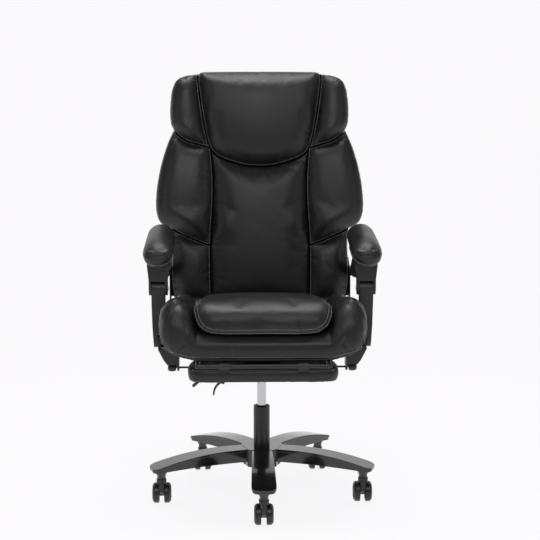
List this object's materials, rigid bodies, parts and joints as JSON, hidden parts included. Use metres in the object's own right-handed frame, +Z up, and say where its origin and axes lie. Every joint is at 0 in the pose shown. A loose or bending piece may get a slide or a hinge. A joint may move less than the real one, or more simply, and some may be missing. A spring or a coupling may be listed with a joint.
{
  "type": "reclining office chair",
  "caption": "High-backed padded office chair on a five-legged castered base, with a reclining back, linked armrests, gas lift and pull-out flip-over footrest.",
  "frame": {"origin": "point on the floor under the gas column, where the swivel axis meets it", "axes": "+Z up; the sitter faces -Y; +X is to the sitter's left"},
  "size_m": [0.7028, 0.7647, 1.3052],
  "materials": {
    "gloss_black_nylon": "gloss",
    "black_coated_steel": "satin",
    "guide_nylon": "matte",
    "zinc_steel": "satin",
    "chrome_steel": "polished",
    "plywood": "matte",
    "black_leather": "satin",
    "satin_black_plastic": "satin",
    "caster_nylon": "satin"
  },
  "bodies": {
    "base": {"star_base": "gloss_black_nylon", "column_tube": "black_coated_steel", "column_bush": "guide_nylon", "thrust_bearing": "zinc_steel"},
    "gas_rod": {"piston_rod": "zinc_steel", "retaining_clip": "zinc_steel"},
    "seat": {"gas_cylinder": "chrome_steel", "mechanism_housing": "black_coated_steel", "seat_board": "plywood", "seat_cushion": "black_leather", "seat_top_pad": "black_leather", "seat_bolts": "zinc_steel", "arm_brackets": "black_coated_steel", "cross_rod": "black_coated_steel", "rod_knobs": "satin_black_plastic", "hinge_plates": "black_coated_steel", "pivot_bolts": "zinc_steel", "footrest_guides": "guide_nylon"},
    "valve_pin": {"release_pin": "zinc_steel"},
    "height_control": {"height_lever": "black_coated_steel", "height_grip": "satin_black_plastic"},
    "recline_control": {"recline_lever": "black_coated_steel", "recline_grip": "satin_black_plastic"},
    "footrest_slider": {"footrest_frame": "black_coated_steel"},
    "footrest_flap": {"footrest_panel": "guide_nylon", "footrest_pad": "black_leather"},
    "back": {"back_board": "plywood", "back_cover": "black_leather", "back_centre": "black_leather", "headrest": "black_leather", "head_wing_r": "black_leather", "head_wing_l": "black_leather", "back_wing_r": "black_leather", "back_wing_l": "black_leather", "lower_bolster_r": "black_leather", "lower_bolster_l": "black_leather", "back_brackets": "black_coated_steel"},
    "post_right": {"post_r": "satin_black_plastic", "knuckle_pin_r": "zinc_steel"},
    "post_left": {"post_l": "satin_black_plastic", "knuckle_pin_l": "zinc_steel"},
    "arm_right": {"arm_rail_r": "satin_black_plastic", "arm_pad_r": "black_leather"},
    "arm_left": {"arm_rail_l": "satin_black_plastic", "arm_pad_l": "black_leather"},
    "caster_1": {"caster_housing_1": "satin_black_plastic", "caster_pins_1": "zinc_steel"},
    "wheels_1": {"caster_wheels_1": "caster_nylon"},
    "caster_2": {"caster_housing_2": "satin_black_plastic", "caster_pins_2": "zinc_steel"},
    "wheels_2": {"caster_wheels_2": "caster_nylon"},
    "caster_3": {"caster_housing_3": "satin_black_plastic", "caster_pins_3": "zinc_steel"},
    "wheels_3": {"caster_wheels_3": "caster_nylon"},
    "caster_4": {"caster_housing_4": "satin_black_plastic", "caster_pins_4": "zinc_steel"},
    "wheels_4": {"caster_wheels_4": "caster_nylon"},
    "caster_5": {"caster_housing_5": "satin_black_plastic", "caster_pins_5": "zinc_steel"},
    "wheels_5": {"caster_wheels_5": "caster_nylon"}
  },
  "joints": [
    {"name": "seat_swivel", "type": "hinge", "parent": "base", "child": "gas_rod", "pos_m": [0, 0, 0.1], "axis": [0, 0, 1], "continuous": true},
    {"name": "seat_lift", "type": "slide", "parent": "gas_rod", "child": "seat", "axis": [0, 0, 1], "range_m": [-0.09, 0]},
    {"name": "height_lever_pull", "type": "hinge", "parent": "seat", "child": "height_control", "pos_m": [-0.0348, 0, 0.4499], "axis": [0, 1, 0], "range_deg": [0, 8], "stiffness_Nm_per_rad": 4, "springref_deg": -5.73},
    {"name": "valve_pin_slide", "type": "slide", "parent": "seat", "child": "valve_pin", "axis": [0, 0, -1], "range_m": [0, 0.005]},
    {"name": "recline_lever_pull", "type": "hinge", "parent": "seat", "child": "recline_control", "pos_m": [-0.0348, -0.0496, 0.4499], "axis": [0, 1, 0], "range_deg": [0, 8], "stiffness_Nm_per_rad": 4, "springref_deg": -5.73},
    {"name": "footrest_pull", "type": "slide", "parent": "seat", "child": "footrest_slider", "axis": [0, -1, 0], "range_m": [0, 0.2]},
    {"name": "footrest_flip", "type": "hinge", "parent": "footrest_slider", "child": "footrest_flap", "pos_m": [0, -0.2924, 0.464], "axis": [-1, 0, 0], "range_deg": [0, 180]},
    {"name": "back_recline", "type": "hinge", "parent": "seat", "child": "back", "pos_m": [0, 0.25, 0.51], "axis": [-1, 0, 0], "range_deg": [0, 45]},
    {"name": "post_tilt_right", "type": "hinge", "parent": "seat", "child": "post_right", "pos_m": [-0.308, -0.12, 0.51], "axis": [-1, 0, 0], "range_deg": [0, 45]},
    {"name": "arm_level_right", "type": "hinge", "parent": "post_right", "child": "arm_right", "pos_m": [-0.308, -0.12, 0.666], "axis": [-1, 0, 0], "range_deg": [-45, 0]},
    {"name": "post_tilt_left", "type": "hinge", "parent": "seat", "child": "post_left", "pos_m": [0.308, -0.12, 0.51], "axis": [-1, 0, 0], "range_deg": [0, 45]},
    {"name": "arm_level_left", "type": "hinge", "parent": "post_left", "child": "arm_left", "pos_m": [0.308, -0.12, 0.666], "axis": [-1, 0, 0], "range_deg": [-45, 0]},
    {"name": "caster_swivel_1", "type": "hinge", "parent": "base", "child": "caster_1", "pos_m": [0, -0.322, 0.09], "axis": [0, 0, 1], "continuous": true},
    {"name": "wheel_roll_1", "type": "hinge", "parent": "caster_1", "child": "wheels_1", "pos_m": [0, -0.306, 0.031], "axis": [1, 0, 0], "continuous": true},
    {"name": "caster_swivel_2", "type": "hinge", "parent": "base", "child": "caster_2", "pos_m": [0.30624, -0.0995, 0.09], "axis": [0, 0, 1], "continuous": true},
    {"name": "wheel_roll_2", "type": "hinge", "parent": "caster_2", "child": "wheels_2", "pos_m": [0.30624, -0.0835, 0.031], "axis": [1, 0, 0], "continuous": true},
    {"name": "caster_swivel_3", "type": "hinge", "parent": "base", "child": "caster_3", "pos_m": [0.18927, 0.2605, 0.09], "axis": [0, 0, 1], "continuous": true},
    {"name": "wheel_roll_3", "type": "hinge", "parent": "caster_3", "child": "wheels_3", "pos_m": [0.18927, 0.2765, 0.031], "axis": [1, 0, 0], "continuous": true},
    {"name": "caster_swivel_4", "type": "hinge", "parent": "base", "child": "caster_4", "pos_m": [-0.18927, 0.2605, 0.09], "axis": [0, 0, 1], "continuous": true},
    {"name": "wheel_roll_4", "type": "hinge", "parent": "caster_4", "child": "wheels_4", "pos_m": [-0.18927, 0.2765, 0.031], "axis": [1, 0, 0], "continuous": true},
    {"name": "caster_swivel_5", "type": "hinge", "parent": "base", "child": "caster_5", "pos_m": [-0.30624, -0.0995, 0.09], "axis": [0, 0, 1], "continuous": true},
    {"name": "wheel_roll_5", "type": "hinge", "parent": "caster_5", "child": "wheels_5", "pos_m": [-0.30624, -0.0835, 0.031], "axis": [1, 0, 0], "continuous": true}
  ],
  "couplings": [
    {"joint": "valve_pin_slide", "follows": "height_lever_pull", "m_per_rad": 0.0348},
    {"joint": "post_tilt_right", "follows": "back_recline", "ratio": 1},
    {"joint": "arm_level_right", "follows": "back_recline", "ratio": -1},
    {"joint": "post_tilt_left", "follows": "back_recline", "ratio": 1},
    {"joint": "arm_level_left", "follows": "back_recline", "ratio": -1}
  ]
}
